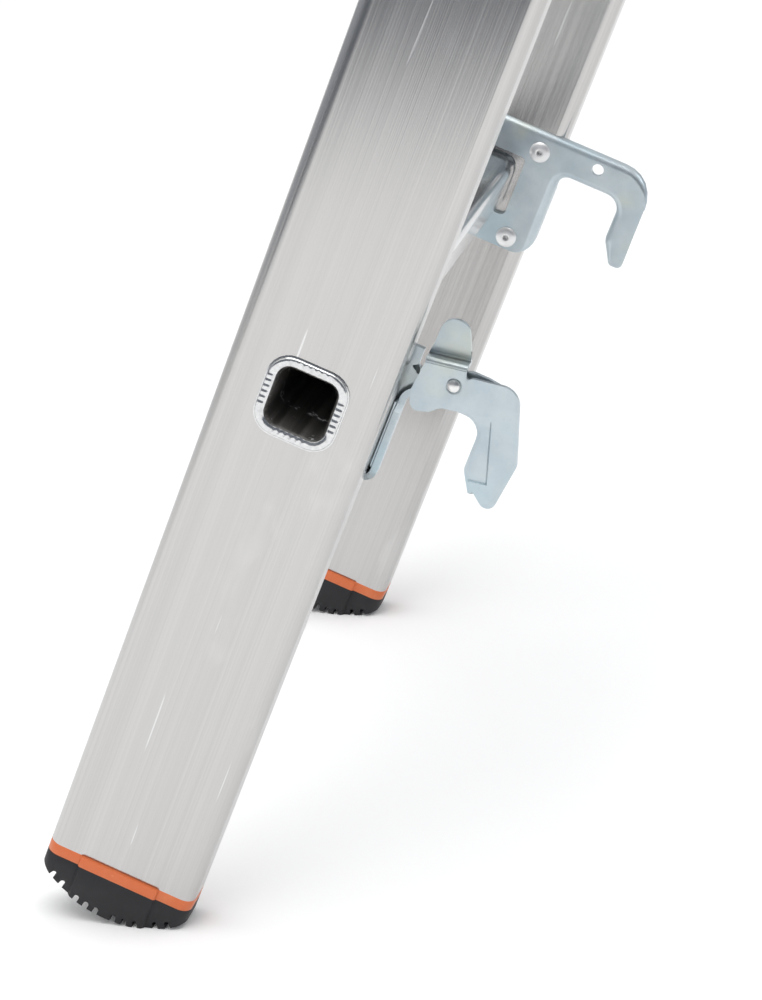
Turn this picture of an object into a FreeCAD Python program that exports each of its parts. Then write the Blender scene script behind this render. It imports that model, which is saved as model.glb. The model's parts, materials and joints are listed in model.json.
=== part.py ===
"""Two-section aluminium ladder that extends, and that opens into a free-standing A-frame.

Each section is drawn in a frame of its own: X runs across the ladder, Y through its depth from the
climber's side (0) to the back, and Z along the stiles from the bottom end of the metal. The fly section,
with the hooks, leans one way and the base section the other. They meet at a hinge, whose brackets slide
along the fly.
"""

import FreeCAD, Part
import math
import os

import Sketcher
from FreeCAD import Placement, Rotation, Vector

os.makedirs("parts", exist_ok=True)
doc = FreeCAD.newDocument("extension_ladder")

# Driving dimensions, in millimetres and degrees.
SIZES = {
    # stiles: rounded box sections
    "stile_depth": 72,
    "stile_thickness": 25,
    "stile_corner": 6,
    "stile_wall": 2,
    "fly_width": 400,
    # rungs: rounded square tubes, flared outside each stile and beaded inside it
    "rung_pitch": 280,
    "rung_count": 6,
    "rung_size": 30,
    "rung_corner": 7,
    "rung_wall": 1.8,
    "rung_behind_middle": 1.4,
    "rung_play": 0.05,
    "fly_first_rung": 250,
    "fly_top_margin": 110,
    "flare_overhang": 4,
    "flare_height": 1.5,
    "bead_overhang": 0.8,
    "bead_height": 1.2,
    # feet: a collar with a plug in the stile, and a rubber sole below it
    "collar_height": 5.5,
    "plug_length": 40,
    "plug_play": 0.3,
    "plug_wall": 3,
    "rocker_beyond_stile": 21,
    "sole_drop": 25.2,
    "facet_depth": 0.1,
    "panel_inset": 16.5,
    "panel_proud": 1.5,
    "panel_chamfer": 1.35,
    "groove_width": 2.5,
    "groove_depth": 3.3,
    "groove_pitch": 5.35,
    "wide_tooth_pitch": 8.9,
    "cap_height": 4,
    "cap_plug_length": 20,
    # A-frame
    "lean_angle": 20.2,
    # hook plates on the inner faces of the fly stiles
    "plate_thickness": 3,
    "plate_edge": 4.5,
    "plate_corner": 4,
    "plate_behind_stile": 4.4,
    "arm_clearance": 1.3,
    "arm_height": 19,
    "mouth_play": 4,
    "mouth_front_corner": 5,
    "mouth_rear_corner": 8,
    "beak_width": 13.8,
    "beak_drop": 34.3,
    "beak_corner": 18,
    "beak_tip_width": 7.5,
    "beak_tip_corner": 3,
    "beak_taper": 11,
    "throat_flange": 3.4,
    "rear_flange": 7,
    "flange_thickness": 3,
    "window_clearance": 8,
    "window_headroom": 3.9,
    "window_corner": 3,
    "window_back": 0.1,
    "window_up": 1.05,
    "pin_hole": 6.4,
    "pin_above_middle": 1.8,
    "dip_depth": 8.8,
    "dip_front": 0.9,
    "dip_past_pin": 5.6,
    # blind rivets
    "rivet_diameter": 4.8,
    "rivet_head": 11,
    "rivet_head_height": 1.6,
    "rivet_head_round": 1.28,
    "rivet_tail": 7,
    "rivet_tail_length": 4,
    "rivet_from_front": 12,
    "rivet_from_back": 10.3,
    "rivet_above_window": 6.1,
    "rivet_below_window": 10.4,
    "rivet_above_edge": 6.5,
    "hole_play": 0.05,
    # latch lever
    "lever_thickness": 2,
    "lever_standoff": 4.2,
    "lever_step": 8,
    "lever_tilt": 10.5,
    "lever_hole": 5.2,
    "lever_play": 0.2,
    "recess_depth": 0.8,
    "pin_shoulder_step": 1.3,
    "pin_head_height": 1.2,
    "pin_foot_height": 1.8,
    # hinge and guide brackets
    "hinge_above_top_rung": 60,
    "stile_above_hinge": 35,
    "rung_in_mouth": 45,
    "bracket_thickness": 3,
    "bracket_half_height": 32,
    "bracket_clearance": 0.7,
    "bracket_nose_flat": 0.64,
    "lip_width": 22,
    "pad_thickness": 2.6,
    "pad_play": 0.4,
    "pad_inset": 1,
    "lip_inset": 4,
    "bolt_diameter": 8,
    "bolt_play": 0.1,
    "bolt_head": 13,
    "bolt_head_height": 5,
    "nut_height": 3.6,
    "washer_diameter": 16,
    "washer_thickness": 1.2,
    "washer_play": 0.1,
    "spacer_diameter": 12,
    "stop_radius": 22,
    "stop_pin_diameter": 6,
    "stop_pin_head": 9,
    "stop_pin_head_height": 1.6,
    "stop_angle": -60,
    "stop_play": 0.15,
}

sheet = doc.addObject("Spreadsheet::Sheet", "dims")
names = []


def add_cells(values):
    """Write named numbers below those that the sheet holds already."""
    for row, (name, value) in enumerate(values.items(), start=len(names) + 1):
        sheet.set(f"A{row}", name)
        sheet.set(f"B{row}", repr(value))
        sheet.setAlias(f"B{row}", name)
    names.extend(values)
    doc.recompute()


def size(expression):
    """Value of a cell, or of an expression on cells."""
    return float(sheet.evalExpression(expression))


add_cells(SIZES)

# Sizes that follow from one another.
FITTED = {
    "side_gap": "flare_height + bracket_clearance + bracket_thickness + washer_play + washer_thickness",
    "rung_depth": "stile_depth / 2 + rung_behind_middle",
    "flare_size": "rung_size + 2 * flare_overhang",
    "bead_size": "rung_size + 2 * bead_overhang",
    "sole_radius": "stile_depth / 2 + rocker_beyond_stile",
    "panel_width": "stile_depth - 2 * panel_inset",
    "mouth_width": "rung_size + mouth_play",
    "window_width": "rung_size + window_clearance",
    "window_height": "rung_size + window_headroom",
}
add_cells({name: size(expression) for name, expression in FITTED.items()})


parts = []
section_frame = {}


# ---------------------------------------------------------------- helpers


def finish(part, label, section, local=Placement()):
    """Name a sub-part and put it into its section's frame."""
    part.Label = label
    part.Placement = section_frame[section] * local
    parts.append(part)
    return part


def solid(shape, label, section, local=Placement()):
    """Sub-part whose shape was worked out with Part's own functions."""
    part = doc.addObject("Part::Feature", label)
    part.Shape = shape
    return finish(part, label, section, local)


def body_plane(body, role):
    return [item for item in body.Origin.OriginFeatures if item.Role == role][0]


def bind(item, path, expression):
    """Tie a property to an expression on the sheet's cells."""
    item.setExpression(path, expression)


def cells(expression):
    """The same expression, as an object outside the sheet reads it."""
    words = sorted(names, key=len, reverse=True)
    for word in words:
        expression = expression.replace(word, f"<{words.index(word)}>")
    for index, word in enumerate(words):
        expression = expression.replace(f"<{index}>", f"dims.{word}")
    return expression


def new_sketch(body, role, name, offset=("0", "0", "0")):
    """Sketch on one of the body's own planes, moved by three expressions in the plane's frame."""
    sketch = body.newObject("Sketcher::SketchObject", name)
    sketch.AttachmentSupport = [(body_plane(body, role), "")]
    sketch.MapMode = "FlatFace"
    for axis, expression in zip("xyz", offset):
        bind(sketch, f".AttachmentOffset.Base.{axis}", cells(expression))
    return sketch


def rounded_rectangle(sketch, name, width, height, radius):
    """Rounded rectangle about the sketch's origin, with its three sizes bound to expressions."""
    half_w, half_h, r = size(width) / 2, size(height) / 2, size(radius)
    first = sketch.GeometryCount
    runs = [
        ((r - half_w, -half_h), (half_w - r, -half_h)),
        ((half_w, r - half_h), (half_w, half_h - r)),
        ((half_w - r, half_h), (r - half_w, half_h)),
        ((-half_w, half_h - r), (-half_w, r - half_h)),
    ]
    for start, end in runs:
        sketch.addGeometry(Part.LineSegment(Vector(*start, 0), Vector(*end, 0)))
    corners = [(1, -1), (1, 1), (-1, 1), (-1, -1)]
    for turn, (side, level) in enumerate(corners, start=-1):
        centre = Vector(side * (half_w - r), level * (half_h - r), 0)
        circle = Part.Circle(centre, Vector(0, 0, 1), r)
        start = math.radians(90 * turn)
        sketch.addGeometry(Part.ArcOfCircle(circle, start, start + math.pi / 2))
    line, arc = first, first + 4
    rules = []
    for side in range(4):
        rules.append(("Tangent", line + side, 2, arc + side, 1))
        rules.append(("Tangent", arc + side, 2, line + (side + 1) % 4, 1))
    rules += [("Horizontal", line), ("Horizontal", line + 2)]
    rules += [("Vertical", line + 1), ("Vertical", line + 3)]
    rules += [("Equal", arc, arc + side) for side in (1, 2, 3)]
    rules.append(("Symmetric", arc + 1, 3, arc + 3, 3, -1, 1))
    for rule in rules:
        sketch.addConstraint(Sketcher.Constraint(*rule))
    sizes = {
        "width": (("DistanceX", line + 3, 1, line + 1, 1, 2 * half_w), width),
        "height": (("DistanceY", line, 1, line + 2, 1, 2 * half_h), height),
        "radius": (("Radius", arc, r), radius),
    }
    for word, (rule, expression) in sizes.items():
        index = sketch.addConstraint(Sketcher.Constraint(*rule))
        sketch.renameConstraint(index, f"{name}_{word}")
        bind(sketch, f".Constraints.{name}_{word}", cells(expression))


def pad(body, sketch, name, length, both_ways=False, backwards=False):
    feature = body.newObject("PartDesign::Pad", name)
    feature.Profile = sketch
    feature.SideType = "Symmetric" if both_ways else "One side"
    feature.Reversed = backwards
    bind(feature, "Length", cells(length))
    body.Tip = feature
    return feature


def rounded_bar(
    body, role, name, section, length, hole=None, offset=("0", "0", "0"), **direction
):
    """Pad of a rounded rectangle, hollow where a hole's width, height and radius are given."""
    sketch = new_sketch(body, role, f"{name}_sketch", offset)
    rounded_rectangle(sketch, "outer", *section)
    if hole:
        rounded_rectangle(sketch, "inner", *hole)
    return pad(body, sketch, name, length, **direction)


def outline(points):
    """Closed wire in the YZ plane: straight runs, with a tangent arc of its own radius at each corner."""
    corners = [(Vector(0, y, z), radius) for y, z, radius in points]
    edges, stops = [], []
    for index, (corner, radius) in enumerate(corners):
        before = (corners[index - 1][0] - corner).normalize()
        after = (corners[(index + 1) % len(corners)][0] - corner).normalize()
        half = before.getAngle(after) / 2
        if radius <= 0 or half > math.radians(89.5):
            stops.append((corner, None, corner))
            continue
        run = radius / math.tan(half)
        inward = (before + after).normalize()
        middle = corner + inward * (radius / math.sin(half) - radius)
        stops.append((corner + before * run, middle, corner + after * run))
    previous = stops[-1][2]
    for start, middle, end in stops:
        if previous.distanceToPoint(start) > 1e-6:
            edges.append(Part.LineSegment(previous, start).toShape())
        if middle is not None:
            edges.append(Part.Arc(start, middle, end).toShape())
        previous = end
    return Part.Wire(edges)


def sheet_metal(points, start, thickness):
    """Flat piece across X, from start, with the outline given."""
    shape = Part.Face(outline(points)).extrude(Vector(thickness, 0, 0))
    shape.translate(Vector(start, 0, 0))
    return shape


def rod(start, length, diameter, y, z):
    """Cylinder along X."""
    return Part.makeCylinder(diameter / 2, length, Vector(start, y, z), Vector(1, 0, 0))


def box(x, y, z):
    """Box from three (low, high) pairs."""
    return Part.makeBox(x[1] - x[0], y[1] - y[0], z[1] - z[0], Vector(x[0], y[0], z[0]))


def mirrored(shape):
    return shape.mirror(Vector(), Vector(1, 0, 0))


def joined(first, *others):
    return first.fuse(list(others)).removeSplitter()


def turned(points, angle, centre=(0, 0)):
    """Outline points turned about X, anticlockwise seen from +X, and then moved."""
    cosine, sine = math.cos(math.radians(angle)), math.sin(math.radians(angle))
    return [
        (centre[0] + y * cosine - z * sine, centre[1] + y * sine + z * cosine, radius)
        for y, z, radius in points
    ]


# ------------------------------------------------- where the sections stand

DEPTH = "stile_depth"
depth = size(DEPTH)
lean = math.radians(size("lean_angle"))
sole_centre_height = size("sole_radius - sole_drop")
sole_contact = size("sole_radius - facet_depth")
section_height = {
    "fly": sole_contact + depth / 2 * math.sin(lean) - sole_centre_height * math.cos(lean),
    "base": sole_contact - depth / 2 * math.sin(lean) - sole_centre_height * math.cos(lean),
}

# With the sections closed, the base's front lies this far behind the fly's front, so that its rungs
# are in the middle of the hooks' mouths.
nesting = size("stile_depth + plate_behind_stile + mouth_width / 2 - rung_depth")
fly_hinge_depth = nesting + depth / 2
base_hinge_depth = depth / 2

# Length along the stiles from the base's bottom end to the fly's, when the sections are closed.
section_offset = (
    section_height["base"] - section_height["fly"]
    + (base_hinge_depth + fly_hinge_depth) * math.sin(lean)
) / math.cos(lean)
base_first_rung = size("fly_first_rung - rung_in_mouth") - section_offset
base_hinge_length = base_first_rung + size("(rung_count - 1) * rung_pitch + hinge_above_top_rung")
fly_hinge_length = base_hinge_length + section_offset
base_length = base_hinge_length + size("stile_above_hinge")
fly_length = size("fly_first_rung + (rung_count - 1) * rung_pitch + fly_top_margin")

section_cells = {
    "base_first_rung": base_first_rung,
    "base_length": base_length,
    "fly_length": fly_length,
    "base_width": size("fly_width + 2 * (stile_thickness + side_gap)"),
}
add_cells(section_cells)

fly_tilt = Rotation(Vector(1, 0, 0), -math.degrees(lean))
base_tilt = Rotation(Vector(1, 0, 0), math.degrees(lean))
base_to_hinge = base_tilt.multVec(Vector(0, base_hinge_depth, base_hinge_length))
fly_to_hinge = fly_tilt.multVec(Vector(0, fly_hinge_depth, fly_hinge_length))
hinge_point = Vector(0, 0, section_height["base"] + base_to_hinge.z)
fly_origin = hinge_point - fly_to_hinge
base_origin = hinge_point - base_to_hinge
section_frame["fly"] = Placement(fly_origin, fly_tilt)
section_frame["base"] = Placement(base_origin, base_tilt)

SIDES = {"right": 1, "left": -1}
STILE = ("stile_thickness", DEPTH, "stile_corner")
STILE_INSIDE = (
    "stile_thickness - 2 * stile_wall",
    "stile_depth - 2 * stile_wall",
    "stile_corner - stile_wall",
)
PLUG = tuple(f"{one} - 2 * plug_play" for one in STILE_INSIDE[:2]) + ("stile_corner - stile_wall",)
PLUG_INSIDE = tuple(f"{one} - 2 * (plug_play + plug_wall)" for one in STILE_INSIDE[:2]) + ("1",)
RUNG = ("rung_size", "rung_size", "rung_corner")
RUNG_INSIDE = (
    "rung_size - 2 * rung_wall",
    "rung_size - 2 * rung_wall",
    "rung_corner - rung_wall",
)


def stile_centre(section, side):
    """Middle of a stile's section, across the ladder."""
    return SIDES[side] * size(f"({section}_width - stile_thickness) / 2")


def on_stile(section, side, length=0.0):
    """Place on a stile's middle line, that far up from its bottom end."""
    return Placement(Vector(stile_centre(section, side), depth / 2, length), Rotation())


# ---------------------------------------------------------------- sections


def stile(section, side):
    """Box section with a row of rung openings through both of its wide walls."""
    label = f"{section}_stile_{side}"
    body = doc.addObject("PartDesign::Body", label)
    rounded_bar(body, "XY_Plane", f"{label}_tube", STILE, f"{section}_length", STILE_INSIDE)
    place = ("rung_depth - stile_depth / 2", f"{section}_first_rung", "0")
    sketch = new_sketch(body, "YZ_Plane", f"{label}_opening_sketch", place)
    opening = [f"{one} + 2 * rung_play" for one in RUNG[:2]] + ["rung_corner + rung_play"]
    rounded_rectangle(sketch, "opening", *opening)
    pocket = body.newObject("PartDesign::Pocket", f"{label}_opening")
    pocket.Profile = sketch
    pocket.SideType = "Symmetric"
    pocket.Type = "Length"
    bind(pocket, "Length", cells("2 * stile_thickness"))
    pattern = body.newObject("PartDesign::LinearPattern", f"{label}_openings")
    pattern.Originals = [pocket]
    pattern.Direction = (sketch, ["V_Axis"])
    pattern.Mode = "Spacing"
    bind(pattern, "Offset", cells("rung_pitch"))
    bind(pattern, "Occurrences", cells("rung_count"))
    body.Tip = pattern
    return finish(body, label, section, on_stile(section, side))


def rung(section, index):
    """Rounded square tube, with a flared rim outside each stile and a bead inside it."""
    label = f"{section}_rung_{index + 1}"
    body = doc.addObject("PartDesign::Body", label)
    width = f"{section}_width"
    across = f"{width} + 2 * flare_height"
    rounded_bar(body, "YZ_Plane", f"{label}_tube", RUNG, across, RUNG_INSIDE, both_ways=True)
    flare = ("flare_size", "flare_size", "rung_corner + (flare_size - rung_size) / 2")
    bead = ("bead_size", "bead_size", "rung_corner + (bead_size - rung_size) / 2")
    outside, inside = ("0", "0", f"{width} / 2"), ("0", "0", f"{width} / 2 - stile_thickness")
    rims = [
        rounded_bar(
            body, "YZ_Plane", f"{label}_flare", flare, "flare_height", RUNG_INSIDE, outside
        ),
        rounded_bar(
            body, "YZ_Plane", f"{label}_bead", bead, "bead_height", RUNG_INSIDE, inside, backwards=True
        ),
    ]
    mirror = body.newObject("PartDesign::Mirrored", f"{label}_rims")
    mirror.Originals = rims
    mirror.MirrorPlane = (body_plane(body, "YZ_Plane"), [""])
    body.Tip = mirror
    length = size(f"{section}_first_rung") + index * size("rung_pitch")
    place = Vector(0, size("rung_depth"), length)
    return finish(body, label, section, Placement(place, Rotation()))


def foot_collar(section, side):
    """Flange under the stile's end, with raised side panels, and a hollow plug up inside the stile."""
    label = f"{section}_foot_collar_{side}"
    body = doc.addObject("PartDesign::Body", label)
    rounded_bar(body, "XY_Plane", f"{label}_flange", STILE, "collar_height", backwards=True)
    panel = ("stile_thickness + 2 * panel_proud", "panel_width", "panel_proud")
    rounded_bar(body, "XY_Plane", f"{label}_panel", panel, "collar_height", backwards=True)
    rounded_bar(body, "XY_Plane", f"{label}_plug", PLUG, "plug_length", PLUG_INSIDE)
    return finish(body, label, section, on_stile(section, side))


def top_cap(section, side):
    """Plastic cap on the stile's upper end, with a hollow plug down inside the stile."""
    label = f"{section}_top_cap_{side}"
    body = doc.addObject("PartDesign::Body", label)
    rounded_bar(body, "XY_Plane", f"{label}_flange", STILE, "cap_height")
    rounded_bar(
        body, "XY_Plane", f"{label}_plug", PLUG, "cap_plug_length", PLUG_INSIDE, backwards=True
    )
    return finish(body, label, section, on_stile(section, side, size(f"{section}_length")))


def sole_shape():
    """Rubber sole: the stile's section and its panel, cut to a rocker with cross grooves."""
    thickness, corner = size("stile_thickness"), size("stile_corner")
    top, drop, radius = -size("collar_height"), size("sole_drop"), size("sole_radius")
    half, panel = thickness / 2, size("panel_width") / 2
    across = (-thickness, thickness)
    height = drop + top

    def upright(shape):
        return [edge for edge in shape.Edges if abs(edge.BoundBox.ZLength - height) < 1e-6]

    block = box((-half, half), (-depth / 2, depth / 2), (-drop, top))
    block = block.makeFillet(corner, upright(block))
    side_face = half + size("panel_proud")
    raised = box((-side_face, side_face), (-panel, panel), (-drop, top))
    raised = raised.makeChamfer(size("panel_chamfer"), upright(raised))
    centre = radius - drop
    block = joined(block, raised).common(rod(-thickness, 2 * thickness, 2 * radius, 0, centre))
    cutters = []
    width, root = size("groove_width"), size("groove_depth - groove_width / 2") - radius
    # two sets of narrow teeth on each side, with the wide tooth that carries the load between them
    wide, pitch = size("wide_tooth_pitch") / 2, size("groove_pitch")
    steps = [-wide - 2 * pitch, -wide - pitch, -wide, wide, wide + pitch]
    for side in (1, -1):
        for step in steps:
            angle = side * math.degrees(math.asin(math.sin(lean) + step / radius))
            groove = box(across, (-width / 2, width / 2), (-2 * radius, root))
            groove = groove.fuse(rod(-thickness, 2 * thickness, width, 0, root))
            groove.rotate(Vector(), Vector(1, 0, 0), angle)
            groove.translate(Vector(0, 0, centre))
            cutters.append(groove)
        # the flat that the sole stands on when the section leans
        facet = box(across, (-radius, radius), (-2 * radius, size("facet_depth") - radius))
        facet.rotate(Vector(), Vector(1, 0, 0), side * math.degrees(lean))
        facet.translate(Vector(0, 0, centre))
        cutters.append(facet)
    return block.cut(cutters)


def sole(section, side, shape):
    label = f"{section}_foot_sole_{side}"
    return solid(shape.copy(), label, section, on_stile(section, side))


# ------------------------------------------------------- hooks and latch

inner_face = size("fly_width / 2 - stile_thickness")
rung_length = size("fly_first_rung")
plate_rear = size("stile_depth + plate_behind_stile")
mouth_rear = plate_rear + size("mouth_width")
beak_rear = mouth_rear + size("beak_width")
arm_under = rung_length + size("rung_size / 2 + arm_clearance")
arm_top = arm_under + size("arm_height")
beak_tip = arm_under - size("beak_drop")
beak_inner = beak_rear - size("beak_tip_width")
pin_depth = (plate_rear + mouth_rear) / 2
pin_length = (arm_under + arm_top) / 2 + size("pin_above_middle")
plate_gauge = size("plate_thickness")
flange_gauge = size("flange_thickness")
window_middle = (size("rung_depth + window_back"), rung_length + size("window_up"))
window_half = (size("window_width / 2"), size("window_height / 2"))
plate_front = window_middle[0] - window_half[0] - size("plate_edge")
rivet_levels = (
    window_middle[1] + window_half[1] + size("rivet_above_window"),
    window_middle[1] - window_half[1] - size("rivet_below_window"),
)
plate_bottom = rivet_levels[1] - size("rivet_above_edge")
rivet_places = [
    (place, level)
    for place in (plate_front + size("rivet_from_front"), size("stile_depth - rivet_from_back"))
    for level in rivet_levels
]


def mouth_points(wall):
    """Outline of the hook's mouth, open downwards, grown by the wall of the turned edge."""
    below = plate_bottom - depth
    taper = size("beak_taper")
    return [
        (plate_rear - wall, below, 0),
        (plate_rear - wall, arm_under + wall, size("mouth_front_corner") + wall),
        (mouth_rear + wall, arm_under + wall, size("mouth_rear_corner") + wall),
        (mouth_rear + wall, beak_tip + taper + wall, taper),
        (beak_inner + wall, beak_tip, wall),
        (beak_inner + wall, below, 0),
    ]


def hook_plate_shape(with_latch):
    """Plate on the stile's inner face, with a hooked arm behind the stile and its throat turned out."""
    corner, tip_corner = size("plate_corner"), size("beak_tip_corner")
    front_corner, rear_corner = size("mouth_front_corner"), size("mouth_rear_corner")
    points = [
        (plate_front, plate_bottom, corner),
        (plate_front, arm_top, corner),
        (beak_rear, arm_top, size("beak_corner")),
        (beak_rear, beak_tip, tip_corner),
        (beak_inner, beak_tip, tip_corner),
        (mouth_rear, beak_tip + size("beak_taper"), rear_corner),
        (mouth_rear, arm_under, rear_corner),
        (plate_rear, arm_under, front_corner),
        (plate_rear, plate_bottom, 2 * front_corner),
    ]
    flat = sheet_metal(points, inner_face - plate_gauge, plate_gauge)
    turned_edge = sheet_metal(points, inner_face, size("throat_flange"))
    turned_edge = turned_edge.common(sheet_metal(mouth_points(flange_gauge), inner_face, plate_rear))
    rear_edge = sheet_metal(points, inner_face, size("rear_flange"))
    rear_zone = box(
        (inner_face, inner_face + plate_rear),
        (plate_rear - flange_gauge, plate_rear + flange_gauge),
        (plate_bottom, arm_under - front_corner),
    )
    shape = joined(flat, turned_edge, rear_edge.common(rear_zone))
    start, through = inner_face - 2 * plate_gauge, 8 * plate_gauge
    (middle, level), (wide, tall) = window_middle, window_half
    corners = [(-1, -1), (-1, 1), (1, 1), (1, -1)]
    round_window = size("window_corner")
    window = [(middle + one * wide, level + other * tall, round_window) for one, other in corners]
    cutters = [
        sheet_metal(window, start, through),
        rod(start, through, size("pin_hole"), pin_depth, pin_length),
    ]
    hole = size("rivet_diameter + 2 * hole_play")
    cutters += [rod(start, through, hole, y, z) for y, z in rivet_places]
    if with_latch:
        # dip under the lever's shelf, which lets the lever swing
        dip_front = plate_rear - size("dip_front")
        dip_rear = pin_depth + size("dip_past_pin")
        dip = [
            (dip_front, arm_top + corner, 0),
            (dip_front, arm_top - size("dip_depth"), corner / 4),
            (dip_rear, arm_top, corner / 2),
            (dip_rear + corner, arm_top + corner, 0),
        ]
        cutters.append(sheet_metal(dip, start, through))
    return shape.cut(cutters)


# Outlines of the lever about its pivot, each point with the radius of its corner.
LEVER_OUTLINE = [
    (-14.0, 10.1, 0),
    (-18.4, -7.2, 6),
    (-16.6, -15.3, 3.5),
    (-8.4, -14.1, 4),
    (-4.2, -11, 6),
    (9.8, -10.9, 5),
    (15.8, -18.2, 6),
    (12.6, -31.7, 12),
    (14.0, -44.5, 0.5),
    (25.0, -55.5, 4),
    (33.2, -29.2, 5),
    (28.4, 5.2, 9),
    (7.0, 5.2, 3),
    (4.9, 3.6, 1),
    (4.4, 10.1, 0),
]
LEVER_TAB = [
    (-14.0, 8.1, 0),
    (4.4, 8.1, 0),
    (3.6, 13.9, 3),
    (0.6, 26.6, 6),
    (-10.0, 26.6, 6),
    (-12.8, 13.9, 3),
]
LEVER_SHELF = [(-14.0, 8.1, 0), (4.4, 8.1, 0), (4.4, 10.1, 0), (-14.0, 10.1, 0)]
LEVER_RECESS = [(9.0, -9.3, 0), (18.6, -9.3, 3.5), (22.2, -40.9, 3), (10.0, -40.9, 0)]


def latch_lever_shape():
    """Lever outside the right hook: a beak beside the hook's own, and a thumb tab stepped in over it."""
    gauge, step = size("lever_thickness"), size("lever_step")
    start = inner_face + size("lever_standoff")
    pin = (pin_depth, pin_length)
    tilt = size("lever_tilt")
    main = sheet_metal(turned(LEVER_OUTLINE, tilt, pin), start, gauge)
    tab = sheet_metal(turned(LEVER_TAB, tilt, pin), start - step, gauge)
    shelf = sheet_metal(turned(LEVER_SHELF, tilt, pin), start - step, step + gauge)
    shape = joined(main, tab, shelf)
    recess_floor = start + gauge - size("recess_depth")
    recess = sheet_metal(turned(LEVER_RECESS, tilt, pin), recess_floor, gauge)
    return shape.cut([recess, rod(start - gauge, 3 * gauge, size("lever_hole"), *pin)])


def latch_pin_shape():
    """Shouldered rivet that carries the lever clear of the hook's turned edge."""
    start = inner_face + size("lever_standoff")
    gauge, play = size("lever_thickness"), size("hole_play")
    pin = (pin_depth, pin_length)
    thick, thin = size("pin_hole") - 2 * play, size("lever_hole") - 2 * play
    shoulder, clear = thick + size("2 * pin_shoulder_step"), size("lever_play")
    foot, head = size("pin_foot_height"), size("pin_head_height")
    return joined(
        rod(inner_face - plate_gauge - foot, foot, shoulder, *pin),
        rod(inner_face - plate_gauge, plate_gauge, thick, *pin),
        rod(inner_face, start - clear - inner_face, shoulder, *pin),
        rod(start - clear, gauge + 2 * clear, thin, *pin),
        rod(start + gauge + clear, head, thin + head, *pin),
    )


def blind_rivet(y, z):
    """Domed head on the hook plate, shank through plate and wall, and tail inside the stile."""
    diameter, rise = size("rivet_diameter"), size("rivet_head_height")
    face, wall = inner_face - plate_gauge, size("stile_wall")
    top = face - rise
    cap = rod(top, rise, size("rivet_head"), y, z)
    rim = [edge for edge in cap.Edges if edge.Closed and abs(edge.BoundBox.XMax - top) < 1e-6]
    cap = cap.makeFillet(size("rivet_head_round"), rim)
    shank = rod(face, plate_gauge + wall, diameter, y, z)
    tail = rod(inner_face + wall, size("rivet_tail_length"), size("rivet_tail"), y, z)
    mandrel_hole = rod(face - 2 * rise, 2 * rise, diameter / 2, y, z)
    return joined(cap, shank, tail).cut(mandrel_hole)


# ------------------------------------------------------ hinge and guides

hinge_yz = (fly_hinge_depth, fly_hinge_length)
base_yz = (base_hinge_depth, base_hinge_length)
bracket_gauge = size("bracket_thickness")
bracket_face = size("fly_width / 2 + flare_height + bracket_clearance")
base_inner = size("base_width / 2 - stile_thickness")
base_outer = size("base_width / 2")


def stop_pin_angle(section, opening):
    """Direction from the hinge to the stop pin, in degrees, for an opening from 0, closed, to 1, open."""
    closed = size("stop_angle - lean_angle")
    return closed if section == "base" else closed + 2 * size("lean_angle") * opening


def around(centre, radius, degrees):
    return (
        centre[0] + radius * math.cos(math.radians(degrees)),
        centre[1] + radius * math.sin(math.radians(degrees)),
    )


def arc_slot(centre, radius, half_width, low, high, start, length):
    """Slot bent round a centre, between two directions in degrees, across X."""

    def spot(distance, degrees):
        return Vector(0, *around(centre, distance, degrees))

    outer, inner, middle = radius + half_width, radius - half_width, (low + high) / 2
    past = math.degrees(half_width / radius)
    rounds = [
        (spot(outer, low), spot(outer, middle), spot(outer, high)),
        (spot(outer, high), spot(radius, high + past), spot(inner, high)),
        (spot(inner, high), spot(inner, middle), spot(inner, low)),
        (spot(inner, low), spot(radius, low - past), spot(outer, low)),
    ]
    shape = Part.Face(Part.Wire([Part.Arc(*three).toShape() for three in rounds]))
    shape.translate(Vector(start, 0, 0))
    return shape.extrude(Vector(length, 0, 0))


def bracket_shape():
    """Channel round the outside of the fly's stile: an eye for the hinge bolt, an arc for the stop pin."""
    half, thick, inset = size("bracket_half_height"), bracket_gauge, size("lip_inset")
    y, z = hinge_yz
    front = -size("pad_play + pad_thickness")
    rear = depth - front
    nose = half - size("bracket_nose_flat")
    web = sheet_metal(
        [
            (front - thick, z - half, inset),
            (front - thick, z + half, inset),
            (y + half, z + half, nose),
            (y + half, z - half, nose),
        ],
        bracket_face,
        thick,
    )
    reach = (bracket_face + thick - size("lip_width"), bracket_face + thick / 2)
    height = (z - half + inset, z + half - inset)
    lips = [box(reach, (edge, edge + thick), height) for edge in (front - thick, rear)]
    shape = joined(web, *lips)
    radius = size("stop_radius")
    slot = size("stop_pin_diameter / 2 + stop_play")
    slack = math.degrees(size("stop_play") / radius)
    low, high = stop_pin_angle("fly", 0) - slack, stop_pin_angle("fly", 1) + slack
    through = (bracket_face - thick, 3 * thick)
    eye = rod(*through, size("bolt_diameter + 2 * bolt_play"), y, z)
    return shape.cut([eye, arc_slot(hinge_yz, radius, slot, low, high, *through)])


def guide_pads_shape():
    """Two plastic pads inside the bracket's lips, one on each side of the stile."""
    half, inset = size("bracket_half_height - lip_inset"), size("pad_inset")
    thick, play = size("pad_thickness"), size("pad_play")
    z = fly_hinge_length
    reach = (bracket_face + bracket_gauge - size("lip_width") + inset, bracket_face - inset)
    height = (z - half + inset, z + half - inset)
    pads = [box(reach, (edge, edge + thick), height) for edge in (-play - thick, depth + play)]
    return Part.makeCompound(pads)


def hexagon(start, length, across, y, z):
    """Hexagonal prism along X, with one flat facing up."""
    corners = [around((y, z), across / 2 / math.cos(math.radians(30)), 60 * turn) for turn in range(6)]
    return sheet_metal([(*corner, 0) for corner in corners], start, length)


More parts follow.
